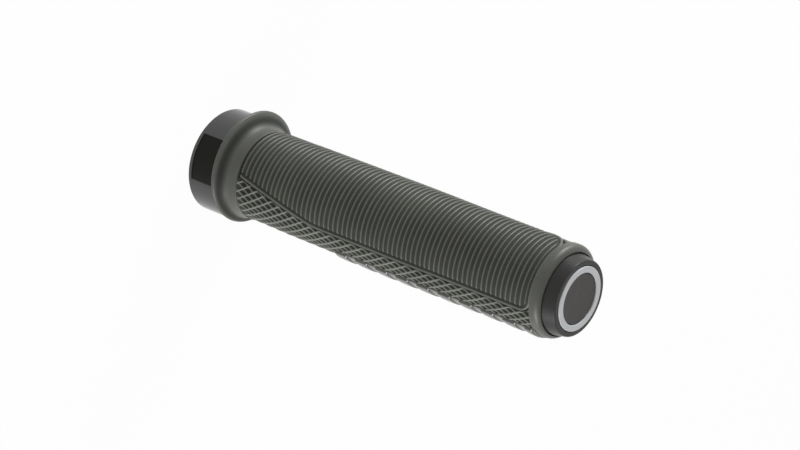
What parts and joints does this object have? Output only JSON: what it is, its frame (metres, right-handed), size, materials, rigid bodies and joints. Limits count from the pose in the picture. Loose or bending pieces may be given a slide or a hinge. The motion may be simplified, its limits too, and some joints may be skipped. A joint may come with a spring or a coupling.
{
  "type": "handlebar grip",
  "caption": "Lock-on bicycle handlebar grip: ribbed and diamond-knurled rubber sleeve on a nylon core, split clamp ring at the inboard end, bevelled closed outboard end.",
  "frame": {"origin": "centre of the clamp ring's inboard face, on the bar's axis", "axes": "+Z along the bar towards its outboard end; +X towards the side where the lower seam of the ribbed panel shows; the ribbed palm panel faces -Y and the finger pads +Y"},
  "size_m": [0.0364, 0.0364, 0.14],
  "materials": {
    "sleeve_rubber": "matt moulded rubber, dark greenish grey",
    "anodised_aluminium": "gloss black anodised",
    "screw_steel": "black oxide",
    "core_nylon": "moulded glass-filled nylon",
    "cap_plastic": "satin black plastic",
    "ring_inlay": "satin light grey"
  },
  "bodies": {
    "root": {"clamp_ring": "anodised_aluminium", "clamp_screw": "screw_steel", "core_tube": "core_nylon", "rubber_sleeve": "sleeve_rubber", "end_cap": "cap_plastic", "cap_ring": "ring_inlay"}
  },
  "joints": []
}
